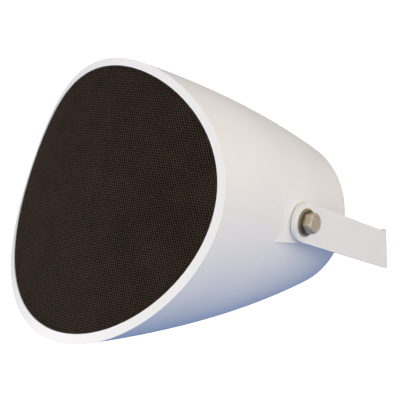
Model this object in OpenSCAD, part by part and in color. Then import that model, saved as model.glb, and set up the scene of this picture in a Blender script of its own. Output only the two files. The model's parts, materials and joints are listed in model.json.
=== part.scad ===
// Weatherproof projection speaker: a flared housing on a bent steel bracket.
// Frame: origin at the middle of the bracket's wall face, +Y into the wall,
// +Z up, the mouth towards -Y. All sizes in millimetres.

/* [Housing] */
// Outside diameter at the mouth
mouth_d = 200; // [196:0.5:206]
// Outside diameter at the rear end
rear_d = 130; // [124:0.5:134]
// Length from the mouth's reference plane to the rear face
body_l = 251; // [248:0.5:254]
// Share of the flare that is a straight taper, the rest is bowed
taper_share = 0.27; // [0.2:0.01:0.4]
// Wall thickness
wall = 3; // [2.4:0.1:3.2]
// Radius of the rear edge
shoulder_r = 5; // [3:0.5:8]
// Diameter of the opening inside the rim
opening_d = 186.4; // [184:0.2:188]
// Depth of the thick rim behind the mouth surface
rim_depth = 13; // [11:0.5:15]

/* [Mouth cut] */
// Radius of the cone that trims the mouth, at the middle of the mouth
trim_r = 202.3; // [196:0.1:210]
// Half angle of that cone
trim_angle = 25.4; // [22:0.1:28]
// Lean of the cone's axis
trim_lean = 17.3; // [15:0.1:19]

/* [Grille] */
// Setback of the grille's face behind the rim
grille_setback = 3.4; // [2:0.1:5]
// Thickness of the grille sheet
grille_t = 1; // [0.8:0.1:1.5]
// Depth of the grille's folded edge
grille_edge = 6; // [4:0.5:7]
// Thickness of the foam sheet behind the grille
foam_t = 3; // [2:0.5:4]
// Gap between the grille's edge and the rim
grille_gap = 0.15; // [0.1:0.05:0.3]

/* [Bracket] */
// Width of the flat steel strip
strip_w = 30; // [26:0.5:32]
// Thickness of the strip
strip_t = 3; // [2.5:0.1:4]
// Inside bend radius
bend_r = 3; // [2:0.5:5]
// Distance from the wall face to the pivot
reach = 125.4; // [125:0.2:150]
// Rise of the arms from the wall towards the pivot
arm_rise = 26; // [12:1:27]
// Height of the web between the arms
web_mid_h = 20; // [18:0.5:30]
// Distance between the two slots in the web
slot_pitch = 110; // [90:1:120]
// Width of a slot
slot_w = 8.5; // [6.5:0.1:10.5]
// Overall length of a slot
slot_l = 18; // [12:0.5:24]
// Diameter of the hole in the middle of the web
centre_hole_d = 10.5; // [8.5:0.1:13]

/* [Pivot] */
// Distance of the pivot behind the mouth's reference plane
pivot_back = 144; // [138:0.5:146]
// Height of the pivot below the speaker's axis
pivot_drop = 0.8; // [0:0.1:3]
// Tilt of the speaker's axis above level in the rest position
aim_up = 18; // [-20:1:18]
// Distance from the speaker's axis to the flat of the side pad
pad_y = 89.3; // [88.8:0.1:89.6]
// Height of the side pad
pad_h = 32; // [30:0.5:38]
// Thickness of the rubber washer between pad and arm
rubber_t = 1; // [0.8:0.1:2.5]
// Diameter of the rubber washer
rubber_d = 23; // [20:0.5:26]
// Gap between the rubber washer and the arm
seat_gap = 0.05; // [0.04:0.01:0.2]
// Thread diameter of the pivot bolt
bolt_d = 9.9; // [9.8:0.05:10]
// Hole for the bolt in the arm
arm_hole_d = 10.6; // [10.5:0.1:11]
// Width across flats of the bolt head
head_af = 14; // [13:0.5:17]
// Height of the bolt head
head_h = 6.4; // [5:0.1:7.5]
// Length of the bolt under the head
bolt_l = 25; // [22:1:28]
// Diameter of the flat washer
washer_d = 21; // [20:0.5:24]
// Thickness of the flat washer
washer_t = 1.2; // [1:0.1:2.5]
// Diameter of the spring washer
spring_d = 17.6; // [16.5:0.1:18.5]
// Thickness of the spring washer
spring_t = 1.5; // [1.2:0.1:2.6]
// Diameter of the moulded boss behind the pad
boss_d = 28; // [24:0.5:30]
// Length of the threaded insert
insert_l = 20; // [16:1:21]
// Outside diameter of the threaded insert
insert_d = 16; // [14:0.5:18]

/* [Driver] */
// Distance of the baffle's front face behind the reference plane
baffle_back = 60; // [59:0.5:62]
// Thickness of the baffle
baffle_t = 6; // [5:0.5:8]
// Diameter of the baffle
baffle_d = 184; // [183:0.5:185]
// Outside diameter of the driver's flange
flange_d = 165; // [162:0.5:167]
// Hole in the baffle for the driver
cutout_d = 145; // [143:0.5:146]
// Diameter of the paper cone
cone_d = 124; // [120:0.5:126]
// Depth of the driver behind its flange
driver_depth = 47; // [44:0.5:50]
// Diameter of the ring magnet
magnet_d = 90; // [80:1:96]
// Thickness of the ring magnet
magnet_t = 14; // [10:0.5:17]
// Diameter of the dust cap
cap_d = 42; // [36:1:46]
// Pitch circle of the driver screws
driver_pcd = 156; // [154:0.5:157]
// Pitch circle of the baffle screws
baffle_pcd = 174; // [173:0.5:175]

/* [Rear fittings] */
// Sideways place of the cable gland on the rear face
gland_y = 44; // [40:0.5:46]
// Height of the cable gland from the speaker's axis
gland_z = -18; // [-22:0.5:-14]
// Diameter of the gland's thread
gland_thread_d = 16; // [14:0.5:18]
// Width across flats of the gland's dome nut
gland_af = 22; // [20:0.5:24]
// Width across flats of the gland's lock nut
lock_nut_af = 20; // [18:0.5:21]
// Width of the transformer core
core_w = 48; // [44:0.5:52]
// Height of the transformer core
core_h = 40; // [36:0.5:42]
// Stack thickness of the transformer core
core_t = 17; // [14:0.5:20]

/* [Hidden] */
$fn = 96;
eps = 0.01;

// distances behind the reference plane are t, the speaker's own forward axis is x = -t
trim_x = 8 - trim_r;
arm_in = pad_y + rubber_t + seat_gap;
arm_out = arm_in + strip_t;
bend_out = bend_r + strip_t;
pivot_h = (reach - bend_out) * tan(arm_rise);
web_h = strip_w / cos(arm_rise);
head_in = arm_out + washer_t + spring_t;
flange_t = 1.4;
ledge_at = baffle_back + baffle_t + 1.5;
ledge_d = baffle_d - 14;
pole_d = 25;
gap_d = 27.6;
coil_in_d = 25.7;
coil_out_d = 26.9;
plate_d = 84;
plate_t = 5;
plate_at = baffle_back + driver_depth;
magnet_at = plate_at + plate_t;
yoke_at = magnet_at + magnet_t;
rear_in = body_l - wall;
boss_post = 14;
core_z = 12;
strap_t = 1.2;
strap_hole = 29;
terminal_z = 57.3;
block_z = -40;

// outside radius of the housing at a distance t behind the reference plane
function body_r(t) = mouth_d / 2 - (mouth_d - rear_d) / 2
    * (taper_share * t / body_l + (1 - taper_share) * (t / body_l) * abs(t / body_l));

// half outline of the housing, grown inwards by g, as [radius, x] points
function flank(g, t0, t1, n) = [for (i = [0:n]) let (t = t0 + (t1 - t0) * i / n) [body_r(t) - g, -t]];
function shoulder(g, r, n) = let (tc = body_l - g - r, a0 = 13)
    [for (i = [0:n]) let (a = a0 + (90 - a0) * i / n)
        [body_r(tc + r * sin(a0)) - g - r * cos(a0) + r * cos(a), -(tc + r * sin(a))]];

// puts the speaker's own axes (x forward, y left, z up, origin in the mouth) in the frame
module in_speaker() {
    translate([0, -reach, pivot_h])
        rotate([-aim_up, 0, 0])
            rotate([0, 0, -90])
                translate([pivot_back, 0, pivot_drop])
                    children();
}

// turns a part drawn along +Z to lie along the speaker's +X
module along_x() {
    rotate([0, 90, 0]) children();
}

// a ring or disc between distances t0 and t1 behind the reference plane
module ring_at(t0, t1, d_out, d_in = 0) {
    translate([-t1, 0, 0])
        along_x()
            difference() {
                cylinder(h = t1 - t0, d = d_out);
                if (d_in > 0)
                    translate([0, 0, -1]) cylinder(h = t1 - t0 + 2, d = d_in);
            }
}

// solid cone that trims the mouth, its surface moved back by inset
module trim_cone(inset) {
    h = 150;
    s = tan(trim_angle);
    translate([trim_x, 0, 0])
        rotate([0, trim_lean, 0])
            translate([0, 0, -h])
                cylinder(h = 2 * h, r1 = trim_r - inset + s * h, r2 = trim_r - inset - s * h, $fn = 180);
}

// a cylinder along the speaker's +Y from y0 to y1 at the pivot, mirrored for the right side
module pivot_rod(side, y0, y1, d, fn = 64) {
    mirror([0, side < 0 ? 1 : 0, 0])
        translate([-pivot_back, y0, -pivot_drop])
            rotate([-90, 0, 0])
                cylinder(h = y1 - y0, d = d, $fn = fn);
}

// a hexagonal bar along +Z
module hex_bar(af, h) {
    cylinder(h = h, d = af / cos(30), $fn = 6);
}

// a screw along the speaker's x with its head at distance t, pointing back
module rear_going_screw(t, y, z, d, l, head_d, head_t) {
    translate([-t, y, z])
        rotate([0, -90, 0])
            union() {
                cylinder(h = l, d = d, $fn = 24);
                translate([0, 0, -head_t])
                    difference() {
                        cylinder(h = head_t, d1 = head_d * 0.7, d2 = head_d, $fn = 32);
                        translate([-head_d * 0.3, -0.5, -eps]) cube([head_d * 0.6, 1, head_t * 0.4]);
                        translate([-0.5, -head_d * 0.3, -eps]) cube([1, head_d * 0.6, head_t * 0.4]);
                    }
            }
}

// a smooth curve through a list of points, n steps between two of them
function knot(p, i) = p[max(0, min(len(p) - 1, i))];
function curve(p, n) = [for (i = [0:len(p) - 2]) for (j = [0:(i == len(p) - 2 ? n : n - 1)])
    let (u = j / n, a = knot(p, i - 1), b = p[i], c = p[i + 1], d = knot(p, i + 2))
        0.5 * (2 * b + (c - a) * u + (2 * a - 5 * b + 4 * c - d) * u * u + (3 * b - a - 3 * c + d) * u * u * u)];
function unit(v) = v / norm(v);

// a round wire of diameter d swept through a list of points
module wire(pts, d) {
    path = curve(pts, 3);
    n = len(path);
    m = 8;
    ring = [for (i = [0:n - 1])
        let (t = unit(path[min(i + 1, n - 1)] - path[max(i - 1, 0)]),
             u = unit(cross(t, [0.3, 0.2, 1])),
             v = cross(t, u))
            [for (k = [0:m - 1]) path[i] + d / 2 * (cos(360 * k / m) * u + sin(360 * k / m) * v)]];
    polyhedron(
        points = [for (r = ring) for (p = r) p],
        faces = concat(
            [[for (k = [0:m - 1]) k]],
            [for (i = [0:n - 2]) for (k = [0:m - 1])
                [i * m + k, (i + 1) * m + k, (i + 1) * m + (k + 1) % m, i * m + (k + 1) % m]],
            [[for (k = [m - 1:-1:0]) (n - 1) * m + k]]),
        convexity = 4);
}

// the moulded housing, drawn by its half outline
module housing_outer() {
    along_x()
        rotate_extrude($fn = 180)
            polygon(concat([[0, 14]], flank(0, -14, body_l - shoulder_r * 0.8, 30),
                shoulder(0, shoulder_r, 6), [[0, -body_l]]));
}

module housing_inner() {
    along_x()
        rotate_extrude($fn = 180)
            polygon(concat([[0, 30]], [[body_r(20) - wall, 30]],
                flank(wall, 20, rear_in - 3, 26),
                [[body_r(rear_in) - wall - 3, -rear_in]], [[0, -rear_in]]));
}

module side_pad(side) {
    mirror([0, side < 0 ? 1 : 0, 0])
        intersection() {
            union() {
                translate([-pivot_back, 60, -pivot_drop])
                    rotate([-90, 0, 0])
                        cylinder(h = pad_y - 60, d = pad_h, $fn = 96);
                translate([-pivot_back, 60, -pad_h / 2 - pivot_drop])
                    cube([40, pad_y - 60, pad_h]);
            }
            translate([-pivot_back - 40, pad_y - 14, -40]) cube([85, 30, 80]);
        }
}

module housing_shell() {
    color("white")
        in_speaker()
            difference() {
                union() {
                    difference() {
                        union() {
                            intersection() {
                                housing_outer();
                                trim_cone(0);
                            }
                            for (s = [-1, 1]) side_pad(s);
                        }
                        intersection() {
                            housing_inner();
                            trim_cone(rim_depth);
                        }
                    }
                    // side bosses for the threaded inserts
                    for (s = [-1, 1]) pivot_rod(s, pad_y - insert_l - 5, pad_y - 1, boss_d);
                    // ledge that the baffle sits on, with its screw pillars
                    ring_at(ledge_at, ledge_at + 4, 2 * body_r(ledge_at) - 2, ledge_d);
                    for (a = [45:90:315])
                        translate([-ledge_at - 14, baffle_pcd / 2 * cos(a), baffle_pcd / 2 * sin(a)])
                            along_x() cylinder(h = 14, d = 9, $fn = 32);
                    // posts on the rear wall for the transformer and the terminal block
                    for (s = [-1, 1])
                        translate([-rear_in - 1, s * strap_hole, core_z])
                            along_x() cylinder(h = boss_post + 1, d = 9, $fn = 32);
                    for (s = [-1, 1])
                        translate([-rear_in - 1, s * 12, block_z])
                            along_x() cylinder(h = 6 + 1, d = 7, $fn = 32);
                }
                // opening inside the rim
                translate([-52, 0, 0]) along_x() cylinder(h = 80, d = opening_d, $fn = 180);
                // flat of the pad where the flare stands proud of it
                for (s = [-1, 1]) pivot_rod(s, pad_y, pad_y + 8, pad_h, 96);
                // holes for the threaded inserts, with room for the bolt's end
                for (s = [-1, 1]) pivot_rod(s, pad_y - insert_l, pad_y + 1, insert_d);
                for (s = [-1, 1]) pivot_rod(s, pad_y - insert_l - 3, pad_y, bolt_d + 0.8);
                // pilot holes
                for (a = [45:90:315])
                    translate([-ledge_at - 13, baffle_pcd / 2 * cos(a), baffle_pcd / 2 * sin(a)])
                        along_x() cylinder(h = 15, d = 3.7, $fn = 24);
                for (s = [-1, 1])
                    translate([-rear_in + 2, s * strap_hole, core_z])
                        along_x() cylinder(h = boss_post, d = 3.5, $fn = 24);
                for (s = [-1, 1])
                    translate([-rear_in + 0.5, s * 12, block_z])
                        along_x() cylinder(h = 8, d = 2.7, $fn = 24);
                // hole for the cable gland
                translate([-body_l - 1, gland_y, gland_z])
                    along_x() cylinder(h = wall + 4, d = gland_thread_d + 0.4, $fn = 64);
            }
}

// curved grille sheet with its edge folded back
module front_grille() {
    r = opening_d / 2 - grille_gap;
    color([0.16, 0.13, 0.11])
        in_speaker()
            difference() {
                intersection() {
                    trim_cone(grille_setback);
                    translate([-60, 0, 0]) along_x() cylinder(h = 80, r = r, $fn = 180);
                }
                intersection() {
                    trim_cone(grille_setback + grille_t);
                    translate([-61, 0, 0]) along_x() cylinder(h = 80, r = r - grille_t, $fn = 180);
                }
                trim_cone(grille_setback + grille_edge);
            }
}

// thin sheet of open foam behind the grille, against rain and dust
module grille_foam() {
    color([0.07, 0.07, 0.07])
        in_speaker()
            difference() {
                intersection() {
                    trim_cone(grille_setback + grille_t + 0.1);
                    translate([-62, 0, 0])
                        along_x() cylinder(h = 80, r = opening_d / 2 - grille_gap - grille_t - 0.3, $fn = 180);
                }
                trim_cone(grille_setback + grille_t + 0.1 + foam_t);
            }
}

module baffle_ring() {
    color([0.2, 0.2, 0.2])
        in_speaker()
            difference() {
                ring_at(baffle_back, baffle_back + baffle_t, baffle_d, cutout_d);
                for (a = [45:90:315])
                    translate([-baffle_back - baffle_t - 1, baffle_pcd / 2 * cos(a), baffle_pcd / 2 * sin(a)])
                        along_x() cylinder(h = baffle_t + 2, d = 4.4, $fn = 24);
                for (a = [0:90:270])
                    translate([-baffle_back - baffle_t - 1, driver_pcd / 2 * cos(a), driver_pcd / 2 * sin(a)])
                        along_x() cylinder(h = baffle_t + 2, d = 3.3, $fn = 24);
            }
}

module baffle_gasket() {
    color([0.12, 0.12, 0.12])
        in_speaker()
            difference() {
                ring_at(baffle_back + baffle_t, ledge_at, baffle_d, ledge_d);
                for (a = [45:90:315])
                    translate([-baffle_back - baffle_t - 3, baffle_pcd / 2 * cos(a), baffle_pcd / 2 * sin(a)])
                        along_x() cylinder(h = 5, d = 5, $fn = 24);
            }
}

module baffle_screws() {
    color([0.75, 0.75, 0.77])
        in_speaker()
            for (a = [45:90:315])
                rear_going_screw(baffle_back, baffle_pcd / 2 * cos(a), baffle_pcd / 2 * sin(a), 3.6, 18, 7.5, 2.4);
}

module driver_basket() {
    b0 = baffle_back;
    z_end = plate_at;
    color([0.25, 0.25, 0.27])
        in_speaker()
            difference() {
                union() {
                    ring_at(b0 - flange_t, b0, flange_d, 2 * 70.5);
                    along_x()
                        rotate_extrude($fn = 120)
                            polygon([[70.5, -b0 + flange_t], [72, -b0], [70, -b0 - 9], [46, -z_end + 3],
                                [44, -z_end], [20, -z_end], [20, -z_end + 1.4], [43, -z_end + 1.4],
                                [44.6, -z_end + 3.2], [68.6, -b0 - 9]]);
                    // shelf that carries the spider
                    ring_at(b0 + 31, b0 + 32.4, 2 * 54, 2 * 35);
                }
                // windows between the legs
                for (a = [0:60:300])
                    rotate([a, 0, 0])
                        translate([-b0 - 30, 38, -13]) cube([20, 40, 26]);
                for (a = [30:60:330])
                    rotate([a, 0, 0])
                        translate([-z_end + 4, 38, -9]) cube([8, 40, 18]);
                for (a = [0:90:270])
                    translate([-b0 - 1, driver_pcd / 2 * cos(a), driver_pcd / 2 * sin(a)])
                        along_x() cylinder(h = 4, d = 4.2, $fn = 24);
            }
}

module driver_gasket() {
    color([0.1, 0.1, 0.1])
        in_speaker()
            ring_at(baffle_back - flange_t - 2.2, baffle_back - flange_t - 0.6, 149, 143);
}

module driver_screws() {
    color([0.75, 0.75, 0.77])
        in_speaker()
            for (a = [0:90:270])
                rear_going_screw(baffle_back - flange_t, driver_pcd / 2 * cos(a), driver_pcd / 2 * sin(a), 3.2, 8, 7, 2.2);
}

module cone_surround() {
    f = baffle_back - flange_t;
    color([0.08, 0.08, 0.08])
        in_speaker()
            along_x()
                rotate_extrude($fn = 120)
                    polygon(concat([[74.5, -f], [74.5, -f + 0.6], [71.5, -f + 0.6]],
                        [for (a = [0:20:180]) [66.5 + 4.4 * cos(a), -f + 0.6 + 4.4 * sin(a)]],
                        [[58.5, -f + 0.6], [58.5, -f]],
                        [for (a = [180:-20:0]) [66.5 + 3.8 * cos(a), -f + 3.8 * sin(a)]]));
}

// x of the cone's front face at radius r, between the neck and radius 34
function cone_x(r) = -baffle_back + flange_t - 13.4 - (34 - r) * 11.2 / (34 - coil_out_d / 2);

module speaker_cone() {
    f = baffle_back - flange_t;
    r = cone_d / 2;
    color([0.3, 0.29, 0.27])
        in_speaker()
            along_x()
                rotate_extrude($fn = 120)
                    polygon([[r, -f], [r, -f - 0.8], [r - 2.5, -f - 0.8], [34, -f - 14.5], [coil_out_d / 2, -f - 26],
                        [coil_out_d / 2, -f - 24.6], [34, -f - 13.4], [r - 3.6, -f]]);
}

module dust_cap() {
    s = 34;
    rc = cap_d / 2;
    seat = cone_x(rc);
    color([0.16, 0.16, 0.17])
        in_speaker()
            intersection() {
                translate([seat - sqrt(s * s - rc * rc), 0, 0])
                    difference() {
                        sphere(r = s + 0.7, $fn = 96);
                        sphere(r = s, $fn = 96);
                    }
                translate([seat + 0.1, 0, 0]) along_x() cylinder(h = 30, d = cap_d, $fn = 96);
            }
}

module voice_coil() {
    f = baffle_back - flange_t;
    color([0.72, 0.4, 0.2])
        in_speaker()
            difference() {
                union() {
                    ring_at(f + 24, plate_at + plate_t + 3, coil_in_d + 0.6);
                    ring_at(plate_at - 2.5, plate_at + plate_t + 2.5, coil_out_d);
                    ring_at(f + 24.2, f + 34.5, coil_out_d);
                }
                ring_at(f, yoke_at, coil_in_d);
            }
}

module spider() {
    b0 = baffle_back;
    n = 5;
    r0 = coil_out_d / 2;
    r1 = 36;
    p = (r1 - r0 - 3) / n;
    color([0.75, 0.6, 0.3])
        in_speaker()
            along_x()
                rotate_extrude($fn = 96)
                    polygon(concat([[r1 + 2, -b0 - 30.4]],
                        [for (i = [0:2 * n]) [r1 - 1 - i * p / 2, -b0 - 30.4 + (i % 2 == 0 ? 0 : 1.6)]],
                        [[r0, -b0 - 30.4], [r0, -b0 - 31]],
                        [for (i = [2 * n:-1:0]) [r1 - 1 - i * p / 2, -b0 - 31 + (i % 2 == 0 ? 0 : 1.6)]],
                        [[r1 + 2, -b0 - 31]]));
}

module top_plate() {
    color([0.7, 0.71, 0.73])
        in_speaker() ring_at(plate_at, plate_at + plate_t, plate_d, gap_d);
}

module ring_magnet() {
    color([0.2, 0.2, 0.21])
        in_speaker() ring_at(magnet_at, yoke_at, magnet_d, 44);
}

module t_yoke() {
    color([0.7, 0.71, 0.73])
        in_speaker() {
            difference() {
                union() {
                    ring_at(yoke_at, yoke_at + plate_t, plate_d);
                    ring_at(plate_at, yoke_at + eps, pole_d);
                }
                ring_at(plate_at - 1, yoke_at + plate_t + 1, 8);
            }
        }
}

module driver_terminals() {
    color([0.75, 0.55, 0.25])
        in_speaker()
            translate([-baffle_back - 36, -6, -terminal_z - 1.6]) {
                cube([8, 12, 1.6]);
                for (s = [0, 8]) translate([-6, s, 0]) cube([7, 4, 0.6]);
            }
}

module transformer_core() {
    color([0.3, 0.31, 0.34])
        in_speaker()
            translate([-rear_in + boss_post + 1.2, -core_w / 2, core_z - core_h / 2])
                difference() {
                    cube([core_t, core_w, core_h]);
                    for (s = [0, 1])
                        translate([-1, s * core_w * 0.5 + core_w * 0.1667, core_h * 0.2])
                            cube([core_t + 2, core_w * 0.1667, core_h * 0.6]);
                }
}

module transformer_winding() {
    w = core_w * 0.6667 - 0.6;
    color([0.85, 0.7, 0.35])
        in_speaker()
            translate([-rear_in + boss_post + 1.2 + core_t / 2, 0, core_z])
                difference() {
                    translate([-core_t / 2 - 6, -w / 2, -core_h * 0.3 + 0.3]) cube([core_t + 12, w, core_h * 0.6 - 0.6]);
                    translate([-core_t / 2 - 0.1, -core_w / 6 - 0.1, -core_h]) cube([core_t + 0.2, core_w / 3 + 0.2, 2 * core_h]);
                }
}

module transformer_strap() {
    x0 = -rear_in + boss_post;
    color([0.75, 0.76, 0.78])
        in_speaker()
            difference() {
                union() {
                    translate([x0, -strap_hole - 6, core_z - 9]) cube([strap_t, 12 + 0.2, 18]);
                    translate([x0, strap_hole - 6.2, core_z - 9]) cube([strap_t, 12.2, 18]);
                    for (s = [-1, 1])
                        translate([x0, s * (core_w / 2 + strap_t / 2) - strap_t / 2, core_z - 9])
                            cube([core_t + 1.2 + strap_t, strap_t, 18]);
                    for (s = [0, 1])
                        translate([x0 + core_t + 1.2, s == 0 ? -core_w / 2 - strap_t : core_w / 3 + 0.4, core_z - 9])
                            cube([strap_t, core_w / 6 + strap_t - 0.4, 18]);
                }
                for (s = [-1, 1])
                    translate([x0 - 1, s * strap_hole, core_z]) along_x() cylinder(h = 5, d = 4, $fn = 24);
            }
}

module transformer_screws() {
    x0 = rear_in - boss_post - strap_t;
    color([0.75, 0.75, 0.77])
        in_speaker()
            for (s = [-1, 1]) rear_going_screw(x0, s * strap_hole, core_z, 3.4, 11, 6.6, 2.2);
}

module terminal_block() {
    color([0.93, 0.92, 0.88])
        in_speaker()
            translate([-rear_in + 6, -15, block_z - 8])
                difference() {
                    cube([12, 30, 16]);
                    for (i = [0:2])
                        translate([8, 7.5 + i * 7.5, -1]) cylinder(h = 18, d = 4, $fn = 24);
                    for (i = [0:2])
                        translate([7, 7.5 + i * 7.5, 8]) along_x() cylinder(h = 6, d = 4.4, $fn = 24);
                    for (s = [3, 27])
                        translate([-1, s, 8]) along_x() cylinder(h = 14, d = 2.8, $fn = 24);
                }
}

module terminal_block_screws() {
    color([0.75, 0.75, 0.77])
        in_speaker()
            for (s = [-1, 1]) rear_going_screw(rear_in - 6 - 12, s * 12, block_z, 2.6, 16, 5, 1.6);
}

module lead_red() {
    color([0.75, 0.08, 0.06])
        in_speaker()
            wire([[-rear_in + 14, -3.75, block_z + 9], [-rear_in + 22, -10, block_z + 16], [-212, -34, -24],
                [-160, -50, -36], [-124, -34, -58], [-108, -12, -62], [-baffle_back - 41, -4, -terminal_z - 2.65]], 2);
}

module lead_black() {
    color([0.05, 0.05, 0.05])
        in_speaker()
            wire([[-rear_in + 14, 3.75, block_z + 9], [-rear_in + 22, 8, block_z + 14], [-212, 22, -36],
                [-160, 40, -50], [-124, 24, -62], [-108, 10, -63], [-baffle_back - 41, 4, -terminal_z - 2.65]], 2);
}

// places a part at the gland, +Z pointing out of the rear face
module at_gland() {
    translate([-body_l, gland_y, gland_z]) rotate([0, -90, 0]) children();
}

module gland_body() {
    color([0.25, 0.25, 0.27])
        in_speaker()
            at_gland()
                difference() {
                    union() {
                        translate([0, 0, -10]) cylinder(h = 10.5, d = gland_thread_d, $fn = 64);
                        hex_bar(gland_af, 4);
                        cylinder(h = 11, d = gland_thread_d - 0.6, $fn = 64);
                    }
                    translate([0, 0, -11]) cylinder(h = 30, d = 10, $fn = 48);
                }
}

module gland_seal() {
    color([0.08, 0.08, 0.08])
        in_speaker()
            at_gland()
                translate([0, 0, 4])
                    difference() {
                        cylinder(h = 12, d = 10, $fn = 48);
                        translate([0, 0, -1]) cylinder(h = 14, d = 6, $fn = 48);
                    }
}

module gland_dome_nut() {
    color([0.25, 0.25, 0.27])
        in_speaker()
            at_gland()
                difference() {
                    union() {
                        translate([0, 0, 4.3]) hex_bar(gland_af, 8);
                        translate([0, 0, 12.3]) cylinder(h = 4.5, d1 = gland_af - 0.4, d2 = gland_af - 6, $fn = 64);
                    }
                    translate([0, 0, 4]) cylinder(h = 8, d = gland_thread_d - 0.5, $fn = 64);
                    translate([0, 0, 11]) cylinder(h = 8, d = 10.1, $fn = 48);
                }
}

module gland_lock_nut() {
    color([0.25, 0.25, 0.27])
        in_speaker()
            at_gland()
                translate([0, 0, -wall - 4])
                    difference() {
                        hex_bar(lock_nut_af, 4);
                        translate([0, 0, -1]) cylinder(h = 6, d = gland_thread_d + 0.1, $fn = 64);
                    }
}

// one arm of the bracket, in its own plane
module arm(side) {
    mirror([side < 0 ? 1 : 0, 0, 0])
        translate([arm_in, 0, 0])
            rotate([0, 90, 0])
                rotate([0, 0, 90])
                    linear_extrude(height = strip_t)
                        difference() {
                            union() {
                                polygon([[-bend_out, -web_h / 2], [-bend_out, web_h / 2],
                                    [-reach + strip_w / 2 * sin(arm_rise), pivot_h + strip_w / 2 * cos(arm_rise)],
                                    [-reach - strip_w / 2 * sin(arm_rise), pivot_h - strip_w / 2 * cos(arm_rise)]]);
                                translate([-reach, pivot_h]) circle(d = strip_w, $fn = 96);
                            }
                            translate([-reach, pivot_h]) circle(d = arm_hole_d, $fn = 64);
                        }
}

module bend(side) {
    mirror([side < 0 ? 1 : 0, 0, 0])
        translate([arm_in - bend_r, -bend_out, -web_h / 2])
            intersection() {
                difference() {
                    cylinder(h = web_h, r = bend_out, $fn = 96);
                    translate([0, 0, -1]) cylinder(h = web_h + 2, r = bend_r, $fn = 96);
                }
                cube([bend_out + 1, bend_out + 1, web_h]);
            }
}

// outline of the web: as high as the arms at the bends, lower between them
module web_outline(hx, h1, h2) {
    k = h1 - h2;
    polygon([[-hx, -h1], [-hx + k, -h2], [hx - k, -h2], [hx, -h1],
        [hx, h1], [hx - k, h2], [-hx + k, h2], [-hx, h1]]);
}

module mounting_bracket() {
    color([0.93, 0.93, 0.92])
        difference() {
            union() {
                for (s = [-1, 1]) arm(s);
                for (s = [-1, 1]) bend(s);
                rotate([90, 0, 0])
                    linear_extrude(height = strip_t)
                        web_outline(arm_in - bend_r, web_h / 2, web_mid_h / 2);
            }
            translate([0, 1, 0]) rotate([90, 0, 0]) cylinder(h = strip_t + 2, d = centre_hole_d, $fn = 64);
            for (s = [-1, 1])
                translate([s * slot_pitch / 2, 1, 0])
                    rotate([90, 0, 0])
                        linear_extrude(height = strip_t + 2)
                            union() {
                                square([slot_l - slot_w, slot_w], center = true);
                                for (e = [-1, 1]) translate([e * (slot_l - slot_w) / 2, 0]) circle(d = slot_w, $fn = 48);
                            }
        }
}

// places a part on the pivot, +Z pointing away from the housing
module pivot_place(side) {
    in_speaker()
        mirror([0, side < 0 ? 1 : 0, 0])
            translate([-pivot_back, 0, -pivot_drop])
                rotate([-90, 0, 0])
                    children();
}

module pivot_bolt(side) {
    color([0.72, 0.66, 0.54])
        pivot_place(side)
            union() {
                translate([0, 0, head_in - bolt_l]) cylinder(h = bolt_l + 1, d = bolt_d, $fn = 64);
                translate([0, 0, head_in])
                    rotate([0, 0, 14.5])
                        intersection() {
                            hex_bar(head_af, head_h);
                            union() {
                                cylinder(h = head_h - 1.6, d = head_af * 1.2, $fn = 64);
                                translate([0, 0, head_h - 1.6 - eps])
                                    cylinder(h = 1.6 + eps, d1 = head_af * 1.17, d2 = head_af * 0.94, $fn = 64);
                            }
                        }
            }
}

module left_pivot_bolt() { pivot_bolt(1); }
module right_pivot_bolt() { pivot_bolt(-1); }

module plain_ring(side, y0, t, d, hole, c) {
    color(c)
        pivot_place(side)
            translate([0, 0, y0])
                difference() {
                    cylinder(h = t, d = d, $fn = 64);
                    translate([0, 0, -1]) cylinder(h = t + 2, d = hole, $fn = 64);
                }
}

module spring_ring(side) {
    color([0.62, 0.58, 0.5])
        pivot_place(side)
            translate([0, 0, arm_out + washer_t])
                difference() {
                    cylinder(h = spring_t, d = spring_d, $fn = 64);
                    translate([0, 0, -1]) cylinder(h = spring_t + 2, d = bolt_d + 0.4, $fn = 64);
                    rotate([0, 0, 55]) rotate([25, 0, 0]) translate([0, -0.5, -3]) cube([12, 1, 9]);
                }
}

module left_flat_washer() { plain_ring(1, arm_out, washer_t, washer_d, bolt_d + 0.6, [0.74, 0.68, 0.56]); }
module right_flat_washer() { plain_ring(-1, arm_out, washer_t, washer_d, bolt_d + 0.6, [0.74, 0.68, 0.56]); }
module left_spring_washer() { spring_ring(1); }
module right_spring_washer() { spring_ring(-1); }
module left_rubber_washer() { plain_ring(1, pad_y, rubber_t, rubber_d, bolt_d + 0.4, [0.1, 0.1, 0.1]); }
module right_rubber_washer() { plain_ring(-1, pad_y, rubber_t, rubber_d, bolt_d + 0.4, [0.1, 0.1, 0.1]); }
module left_insert() { plain_ring(1, pad_y - insert_l, insert_l, insert_d, bolt_d + 0.04, [0.8, 0.65, 0.3]); }
module right_insert() { plain_ring(-1, pad_y - insert_l, insert_l, insert_d, bolt_d + 0.04, [0.8, 0.65, 0.3]); }

housing_shell();
front_grille();
grille_foam();
baffle_ring();
baffle_gasket();
baffle_screws();
driver_basket();
driver_gasket();
driver_screws();
cone_surround();
speaker_cone();
dust_cap();
voice_coil();
spider();
top_plate();
ring_magnet();
t_yoke();
driver_terminals();
transformer_core();
transformer_winding();
transformer_strap();
transformer_screws();
terminal_block();
terminal_block_screws();
lead_red();
lead_black();
gland_body();
gland_seal();
gland_dome_nut();
gland_lock_nut();
mounting_bracket();
left_pivot_bolt();
right_pivot_bolt();
left_flat_washer();
right_flat_washer();
left_spring_washer();
right_spring_washer();
left_rubber_washer();
right_rubber_washer();
left_insert();
right_insert();
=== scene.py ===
"""Looks, grille, light and camera of the projection speaker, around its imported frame."""
import bpy
import bmesh
import json
import math
from mathutils import Matrix, Vector


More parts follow.
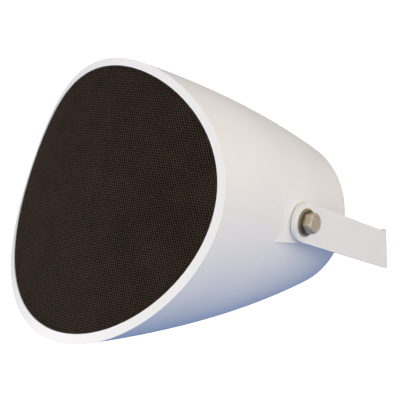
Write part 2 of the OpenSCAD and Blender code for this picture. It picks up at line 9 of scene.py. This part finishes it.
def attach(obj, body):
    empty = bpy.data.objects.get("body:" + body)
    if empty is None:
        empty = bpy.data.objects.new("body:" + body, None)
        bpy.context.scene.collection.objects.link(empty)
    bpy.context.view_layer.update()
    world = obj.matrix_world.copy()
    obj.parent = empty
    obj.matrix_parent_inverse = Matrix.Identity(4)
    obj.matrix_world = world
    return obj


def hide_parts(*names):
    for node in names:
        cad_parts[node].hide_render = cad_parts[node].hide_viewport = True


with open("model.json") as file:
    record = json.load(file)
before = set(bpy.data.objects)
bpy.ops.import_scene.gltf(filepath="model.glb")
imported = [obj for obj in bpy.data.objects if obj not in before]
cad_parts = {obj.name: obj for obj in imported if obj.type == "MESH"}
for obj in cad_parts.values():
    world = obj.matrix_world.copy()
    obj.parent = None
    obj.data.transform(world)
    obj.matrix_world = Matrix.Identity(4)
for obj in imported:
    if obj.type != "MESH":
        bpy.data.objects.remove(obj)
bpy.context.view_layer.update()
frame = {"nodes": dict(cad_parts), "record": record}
nodes = frame["nodes"]
scene = bpy.context.scene

# The speaker's own axes: x forward, y left, z up, origin in the mouth.
AIM = math.radians(18.0)       # how far the speaker looks up at rest
REACH = 0.1254                 # from the wall to the bolts, in metres
PIVOT_H = 0.0582353            # height of the bolts
PIVOT_BACK = 0.144             # from the mouth back to the bolts
PIVOT_DROP = 0.0008            # from the speaker's axis down to the bolts
MM_PER_M = 1000.0
FWD = Vector((0.0, -math.cos(AIM), math.sin(AIM)))
LEFT = Vector((1.0, 0.0, 0.0))
UP = Vector((0.0, math.sin(AIM), math.cos(AIM)))
PIVOT = Vector((0.0, -REACH, PIVOT_H))


def in_frame(x, y, z):
    """A point in the speaker's own axes, in millimetres, as a point in the frame, in metres."""
    return (PIVOT + FWD * (x / MM_PER_M + PIVOT_BACK) + LEFT * (y / MM_PER_M)
            + UP * (z / MM_PER_M + PIVOT_DROP))


def add_mesh(name, bm, slot):
    """A new object of a bmesh, which is freed, with one material."""
    mesh = bpy.data.meshes.new(name)
    bm.to_mesh(mesh)
    bm.free()
    mesh.materials.append(slot)
    ob = bpy.data.objects.new(name, mesh)
    scene.collection.objects.link(ob)
    return ob


def bridge(bm, ring_a, ring_b):
    """Faces between two closed rings of as many vertices."""
    count = len(ring_a)
    for i in range(count):
        j = (i + 1) % count
        bm.faces.new((ring_a[i], ring_a[j], ring_b[j], ring_b[i]))


# Camera: place and turn were fitted to the photograph, in the speaker's own axes.
CAMERA_AT = (422.785, 452.384, 23.402)
CAMERA_RIGHT = (-0.62876109, 0.76782578, 0.12289454)
CAMERA_DOWN = (-0.05720950, 0.11193753, -0.99206707)
CAMERA_FORWARD = (-0.77549118, -0.63080390, -0.02645503)
HALF_PIXEL = 0.5 / 400

right, down, forward = ((FWD * v[0] + LEFT * v[1] + UP * v[2]).normalized()
                        for v in (CAMERA_RIGHT, CAMERA_DOWN, CAMERA_FORWARD))
cam_data = bpy.data.cameras.new("camera")
cam_data.sensor_width = 36.0
cam_data.lens = 81.2
cam_data.shift_x = -HALF_PIXEL
cam_data.shift_y = HALF_PIXEL
cam_data.clip_start = 0.05
cam_data.clip_end = 50.0
camera = bpy.data.objects.new("camera", cam_data)
scene.collection.objects.link(camera)
turn = Matrix((right, -down, -forward)).transposed().to_4x4()
camera.matrix_world = Matrix.Translation(in_frame(*CAMERA_AT)) @ turn
scene.camera = camera


def material(name):
    """A material with its node tree and its only shader."""
    m = bpy.data.materials.new(name)
    m.use_nodes = True
    tree = m.node_tree
    tree.nodes.clear()
    out = tree.nodes.new("ShaderNodeOutputMaterial")
    bsdf = tree.nodes.new("ShaderNodeBsdfPrincipled")
    tree.links.new(bsdf.outputs["BSDF"], out.inputs["Surface"])
    return m, tree, bsdf


def noise(tree, vector, scale, detail, rough=0.5):
    """Noise over the object's own coordinates."""
    n = tree.nodes.new("ShaderNodeTexNoise")
    n.inputs["Scale"].default_value = scale
    n.inputs["Detail"].default_value = detail
    n.inputs["Roughness"].default_value = rough
    tree.links.new(vector, n.inputs["Vector"])
    return n.outputs["Fac"]


def ramp(tree, value, stops):
    """Colours between stops of (position, colour)."""
    r = tree.nodes.new("ShaderNodeValToRGB")
    elements = r.color_ramp.elements
    while len(elements) < len(stops):
        elements.new(0.5)
    for element, (position, colour) in zip(elements, stops):
        element.position = position
        element.color = (*colour, 1.0)
    tree.links.new(value, r.inputs["Fac"])
    return r.outputs["Color"]


COLOUR_STOPS = (0.3, 0.7)      # where the noise reaches its low and its high colour


def surface(name, low, high, rough=(0.4, 0.5), metallic=0.0, colour_scale=40.0, grain=900.0,
            depth=0.00003, strength=0.3, specular=0.5, sheen=0.0):
    """Colour and roughness that vary a little over the surface, and a fine grain in metres of depth."""
    m, tree, bsdf = material(name)
    own = tree.nodes.new("ShaderNodeTexCoord").outputs["Object"]
    patches = noise(tree, own, colour_scale, 4.0, 0.55)
    grey = [(r, r, r) for r in rough]
    for socket, ends in (("Base Color", (low, high)), ("Roughness", grey)):
        tree.links.new(ramp(tree, patches, list(zip(COLOUR_STOPS, ends))), bsdf.inputs[socket])
    bump = tree.nodes.new("ShaderNodeBump")
    bump.inputs["Strength"].default_value = strength
    bump.inputs["Distance"].default_value = depth
    tree.links.new(noise(tree, own, grain, 2.0), bump.inputs["Height"])
    tree.links.new(bump.outputs["Normal"], bsdf.inputs["Normal"])
    bsdf.inputs["Metallic"].default_value = metallic
    bsdf.inputs["Specular IOR Level"].default_value = specular
    if sheen:
        bsdf.inputs["Sheen Weight"].default_value = sheen
    return m


FINE = 0.00002                 # depth of a machined or moulded surface's grain, in metres
CLOTH = 0.0001                 # depth of a weave, a paper's fibre or a winding

# One material for each slot of the record.
SLOTS = {
    "housing_white": surface(
        "moulded_white_abs", (0.80, 0.797, 0.785), (0.83, 0.828, 0.818), (0.34, 0.42),
        colour_scale=14.0, grain=1400.0, depth=FINE, strength=0.25),
    "bracket_white": surface(
        "powder_coat_white", (0.79, 0.787, 0.775), (0.82, 0.817, 0.807), (0.38, 0.46),
        colour_scale=22.0, grain=700.0, depth=0.00004, strength=0.35),
    "grille_dark": surface(
        "grille_paint", (0.053, 0.035, 0.022), (0.075, 0.051, 0.033), (0.45, 0.58),
        colour_scale=60.0, grain=1600.0, depth=FINE, strength=0.2, specular=0.1),
    "plated_fastener": surface(
        "plated_steel", (0.57, 0.49, 0.37), (0.67, 0.59, 0.46), (0.52, 0.66), 1.0,
        colour_scale=260.0, grain=2200.0, depth=FINE, strength=0.25),
    "zinc_steel": surface(
        "zinc_steel", (0.55, 0.56, 0.58), (0.68, 0.69, 0.71), (0.28, 0.42), 1.0,
        colour_scale=180.0, grain=2000.0, depth=FINE, strength=0.25),
    "black_rubber": surface(
        "black_rubber", (0.018, 0.018, 0.018), (0.03, 0.03, 0.03), (0.6, 0.75),
        colour_scale=120.0, grain=1500.0, specular=0.3),
    "black_plastic": surface(
        "black_nylon", (0.022, 0.022, 0.024), (0.035, 0.035, 0.037), (0.42, 0.55),
        colour_scale=90.0, grain=1800.0),
    "basket_black": surface(
        "basket_paint", (0.02, 0.02, 0.022), (0.032, 0.032, 0.034), (0.35, 0.5),
        colour_scale=90.0, grain=1500.0),
    "brass_plain": surface(
        "turned_brass", (0.62, 0.45, 0.18), (0.75, 0.58, 0.28), (0.25, 0.38), 1.0,
        colour_scale=200.0, grain=2200.0),
    "ferrite": surface(
        "ferrite", (0.05, 0.05, 0.052), (0.08, 0.08, 0.082), (0.6, 0.75),
        colour_scale=150.0, depth=0.00005, strength=0.4),
    "cone_paper": surface(
        "cone_paper", (0.028, 0.027, 0.026), (0.05, 0.048, 0.045), (0.75, 0.9),
        colour_scale=160.0, grain=700.0, depth=CLOTH, strength=0.5, specular=0.2),
    "cap_cloth": surface(
        "cap_cloth", (0.02, 0.02, 0.021), (0.035, 0.035, 0.037), (0.7, 0.85),
        colour_scale=200.0, grain=2500.0, depth=CLOTH, strength=0.6, specular=0.2, sheen=0.3),
    "spider_cloth": surface(
        "spider_cloth", (0.45, 0.32, 0.12), (0.58, 0.43, 0.2), (0.75, 0.9),
        colour_scale=200.0, grain=2500.0, depth=CLOTH, strength=0.6, specular=0.2),
    "copper_wire": surface(
        "copper_wire", (0.55, 0.25, 0.12), (0.7, 0.36, 0.2), (0.28, 0.4), 1.0,
        colour_scale=300.0, grain=2500.0, depth=CLOTH, strength=0.5),
    "core_steel": surface(
        "core_steel", (0.12, 0.125, 0.135), (0.18, 0.185, 0.2), (0.45, 0.6), 0.7,
        colour_scale=150.0, grain=1500.0),
    "terminal_ivory": surface(
        "terminal_nylon", (0.74, 0.72, 0.64), (0.8, 0.78, 0.7),
        colour_scale=80.0, grain=1500.0),
    "lead_red_pvc": surface(
        "red_lead", (0.45, 0.015, 0.012), (0.55, 0.03, 0.02), (0.35, 0.45),
        colour_scale=120.0, grain=1500.0),
    "lead_black_pvc": surface(
        "black_lead", (0.012, 0.012, 0.012), (0.022, 0.022, 0.022), (0.35, 0.45),
        colour_scale=120.0, grain=1500.0),
    "foam_black": surface(
        "open_foam", (0.004, 0.0035, 0.0032), (0.009, 0.008, 0.007), (0.85, 0.95),
        colour_scale=300.0, grain=1300.0, depth=0.0006, strength=0.8, specular=0.05),
}
# Looks that differ from those of the slot: duller flat washers; spring washers painted near black,
# painted shade in the gap between bolt head and flat washer; and a darker edge of the grille, painted
# shade along the rim.
WASHER = surface(
    "plated_washer", (0.36, 0.32, 0.255), (0.45, 0.40, 0.32), (0.6, 0.72), 1.0,
    colour_scale=260.0, grain=2200.0, depth=FINE, strength=0.25)
# Spring washers: plated steel made near black, painted shade that stands for the dark gap between bolt
# head and flat washer.
SPRING_PAINTED_SHADE = surface(
    "spring_steel", (0.13, 0.115, 0.09), (0.18, 0.16, 0.13), (0.5, 0.62), 1.0,
    colour_scale=260.0, grain=2200.0, depth=FINE, strength=0.25)
# Edge of the grille: the grille's own paint about three times darker, painted shade in the crease where
# the sheet meets the rim.
GRILLE_EDGE_PAINTED_SHADE = surface(
    "grille_edge_painted_shade", (0.016, 0.011, 0.008), (0.024, 0.017, 0.012), (0.5, 0.62),
    colour_scale=60.0, grain=1600.0, depth=FINE, strength=0.2, specular=0.08)

for sub in frame["record"]["subparts"]:
    look = SLOTS[sub["material_slot"]]
    if sub["node"].endswith("flat_washer"):
        look = WASHER
    # spring washers take the near-black look, painted shade in the gap under the bolt head
    elif sub["node"].endswith("spring_washer"):
        look = SPRING_PAINTED_SHADE
    slots = nodes[sub["node"]].data.materials
    slots.clear()
    slots.append(look)

# Grille, in millimetres in the speaker's own axes. The mouth is trimmed by a leaning cone, and the
# grille follows the same cone.
TRIM_R = 202.3                 # radius of the cone in the middle of the mouth
TRIM_ANGLE = math.radians(25.4)
TRIM_LEAN = math.radians(17.3)
MOUTH_X = 8.0                  # where the cone's surface crosses the speaker's axis
TRIM_X = MOUTH_X - TRIM_R
MOUTH_D = 186.4                # opening of the mouth
GRILLE_R = MOUTH_D / 2 - 0.15
SETBACK = 0.5                  # from the rim back to the sheet
SHEET_T = 0.5
FOLD = 8.0                     # depth of the folded edge
BORDER = 1.5                   # width of the plain border
MESH_R = GRILLE_R - 1.1        # how far out the middle of a cell may lie, under the border
PITCH, ROW = 1.70, 1.745       # cell to cell along a row, and row to row
HOLE = 1.02                    # from the middle of a hole to its top corner


def trim_surface(y, z, inset):
    """x of the trimming cone's surface at y and z, moved back by inset."""
    cos_lean, sin_lean, slope = math.cos(TRIM_LEAN), math.sin(TRIM_LEAN), math.tan(TRIM_ANGLE)
    radius = TRIM_R - inset
    a = cos_lean * cos_lean - slope * slope * sin_lean * sin_lean
    k = radius - slope * z * cos_lean
    b = -2 * z * cos_lean * sin_lean + 2 * k * slope * sin_lean
    c = z * z * sin_lean * sin_lean + y * y - k * k
    return TRIM_X + (-b + math.sqrt(b * b - 4 * a * c)) / (2 * a)


def perforated(name, keep):
    """Part of the sheet: six-sided cells with a six-sided hole each, closed front, back and edge."""
    verts, index, faces, edges = [], {}, [], {}
    radius = TRIM_R - SETBACK
    front, back = SETBACK, SETBACK + SHEET_T
    high = ROW * 2 / 3
    low = high - ROW / 3
    side = PITCH / 2
    cell = ((0.0, high), (side, low), (side, -low), (0.0, -high), (-side, -low), (-side, low))
    shrink = HOLE / high

    def ring(u, w, scale, inset):
        """A six-sided ring round (u, w), u along the curve of the sheet and w up."""
        out = []
        for a, b in cell:
            y, z = radius * math.sin((u + a * scale) / radius), w + b * scale
            key = (round(y, 3), round(z, 3), inset)
            if key not in index:
                index[key] = len(verts)
                verts.append(in_frame(trim_surface(y, z, inset), y, z))
            out.append(index[key])
        return out

    steps = int(GRILLE_R / PITCH) + 2
    for j in range(-steps, steps + 1):
        for i in range(-steps, steps + 1):
            u, w = (i + (0.5 if j % 2 else 0.0)) * PITCH, j * ROW
            y = radius * math.sin(u / radius)
            if not keep(u) or y * y + w * w > MESH_R * MESH_R:
                continue
            fo, bo = ring(u, w, 1.0, front), ring(u, w, 1.0, back)
            fi, bi = ring(u, w, shrink, front), ring(u, w, shrink, back)
            for k in range(6):
                m = (k + 1) % 6
                faces += [(fo[k], fi[k], fi[m], fo[m]), (fi[k], bi[k], bi[m], fi[m]),
                          (bi[k], bo[k], bo[m], bi[m])]
                # an edge of the front that only one cell has gets a wall to the back
                edge = (min(fo[k], fo[m]), max(fo[k], fo[m]))
                edges[edge] = None if edge in edges else (fo[k], fo[m], bo[m], bo[k])
    faces += [quad for quad in edges.values() if quad]
    mesh = bpy.data.meshes.new(name + "_draft")
    mesh.from_pydata(verts, [], faces)
    mesh.validate()
    bm = bmesh.new()
    bm.from_mesh(mesh)
    bpy.data.meshes.remove(mesh)
    bmesh.ops.recalc_face_normals(bm, faces=bm.faces)
    return add_mesh(name, bm, SLOTS["grille_dark"])


def border():
    """Narrow plain border of the sheet with its edge folded back along the housing."""
    outer, inner = GRILLE_R, GRILLE_R - SHEET_T
    lip = GRILLE_R - BORDER
    proud = -0.03              # just before the mesh, so that the two faces don't fight
    section = [(lip, SHEET_T), (lip, proud), (outer - 0.7, proud), (outer - 0.25, 0.08),
               (outer - 0.05, 0.35), (outer, 0.8), (outer, FOLD), (inner, FOLD), (inner, SHEET_T)]
    count = 288
    bm = bmesh.new()
    rows = []
    for r, back in section:
        row = []
        for i in range(count):
            a = 2 * math.pi * i / count
            y, z = r * math.cos(a), r * math.sin(a)
            row.append(bm.verts.new(in_frame(trim_surface(y, z, SETBACK + back), y, z)))
        rows.append(row)
    for row_a, row_b in zip(rows, rows[1:] + rows[:1]):
        bridge(bm, row_a, row_b)
    bmesh.ops.recalc_face_normals(bm, faces=bm.faces)
    for face in bm.faces:
        face.smooth = True
    # the border takes the darker copy of the grille paint, painted shade along the rim
    return add_mesh("grille_border", bm, GRILLE_EDGE_PAINTED_SHADE)


# Pale floor that curves up into a round wall and a dome. Only the camera sees it, so it neither
# lights nor shades the speaker.
FLOOR_Z = -0.55
ROOM_R = 3.0
COVE = 0.8                     # radius of the curve between floor and wall
DOME_FROM = 1.5                # height above the floor at which the dome starts
SEGMENTS = 64
WHITE = (0.93, 0.93, 0.93)

white, tree, bsdf = material("backdrop_white")
own = tree.nodes.new("ShaderNodeTexCoord").outputs["Object"]
shades = [(0.0, tuple(x * 0.995 for x in WHITE)), (1.0, WHITE)]
tree.links.new(ramp(tree, noise(tree, own, 3.0, 2.0), shades), bsdf.inputs["Base Color"])
bsdf.inputs["Roughness"].default_value = 0.9
bsdf.inputs["Specular IOR Level"].default_value = 0.2
bsdf.inputs["Emission Color"].default_value = (1.0, 1.0, 1.0, 1.0)
bsdf.inputs["Emission Strength"].default_value = 0.9

arc = [math.radians(9 * k) for k in range(11)]
profile = [(ROOM_R - COVE + COVE * math.sin(a), COVE - COVE * math.cos(a)) for a in arc]
profile += [(ROOM_R * math.cos(a), DOME_FROM + ROOM_R * math.sin(a)) for a in arc[:-1]]
bm = bmesh.new()
rings = []
for r, h in profile:
    turns = [2 * math.pi * i / SEGMENTS for i in range(SEGMENTS)]
    rings.append([bm.verts.new((r * math.cos(t), r * math.sin(t), FLOOR_Z + h)) for t in turns])
for ring_a, ring_b in zip(rings, rings[1:]):
    bridge(bm, ring_a, ring_b)
for face in bm.faces:
    face.smooth = True
bm.faces.new(rings[0])
bm.faces.new(rings[-1])
backdrop = add_mesh("backdrop", bm, white)
backdrop.visible_diffuse = False
backdrop.visible_glossy = False
backdrop.visible_shadow = False

# World: bluish from below, neutral from above, as the photograph's shading asks.
LOW, MIDDLE, HIGH = (0.10, 0.205, 0.45), (0.29, 0.34, 0.41), (0.52, 0.50, 0.52)
world = bpy.data.worlds.new("world")
scene.world = world
world.use_nodes = True
tree = world.node_tree
coordinates = tree.nodes.new("ShaderNodeTexCoord")
parts = tree.nodes.new("ShaderNodeSeparateXYZ")
tree.links.new(coordinates.outputs["Generated"], parts.inputs["Vector"])
height = tree.nodes.new("ShaderNodeMapRange")
height.inputs["From Min"].default_value = -1.0
height.inputs["From Max"].default_value = 1.0
tree.links.new(parts.outputs["Z"], height.inputs["Value"])
sky = ramp(tree, height.outputs["Result"],
           [(0.0, LOW), (0.38, LOW), (0.46, MIDDLE), (0.54, MIDDLE), (0.62, HIGH), (1.0, HIGH)])
tree.links.new(sky, tree.nodes["Background"].inputs["Color"])
tree.nodes["Background"].inputs["Strength"].default_value = 1.0

# Four large round lights, all aimed at the speaker: direction, power in watts, colour.
AIM_AT = Vector((0.0, -0.15, 0.03))
LIGHT_AWAY = 1.7
LIGHT_D = 1.2
LIGHTS = (
    ("front_left", (-0.8, -1.0, 0.2), 13.1, (1.0, 0.94, 0.875)),
    ("camera_side", (0.7, -0.7, 0.3), 11.7, (1.0, 0.98, 0.90)),
    ("side", (1.0, 0.0, 0.12), 5.4, (1.0, 0.80, 0.52)),
    ("side_back", (0.8, 0.6, 0.3), 8.0, (1.0, 0.80, 0.54)),
)
for name, direction, power, colour in LIGHTS:
    light = bpy.data.lights.new(name, "AREA")
    light.shape = "DISK"
    light.size = LIGHT_D
    light.energy = power
    light.color = colour
    lamp = bpy.data.objects.new(name, light)
    scene.collection.objects.link(lamp)
    lamp.location = AIM_AT + LIGHT_AWAY * Vector(direction).normalized()
    lamp.rotation_euler = (AIM_AT - lamp.location).to_track_quat("-Z", "Y").to_euler()

scene.view_settings.view_transform = "Standard"

HALVES_MEET = 0.01             # u at which the two halves of the sheet meet, off every cell's middle
left_half = perforated("grille_mesh_left", lambda u: u >= HALVES_MEET)
right_half = perforated("grille_mesh_right", lambda u: u < HALVES_MEET)
edge_ring = border()
for o in (left_half, right_half, edge_ring):
    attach(o, "speaker")
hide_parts("front_grille")
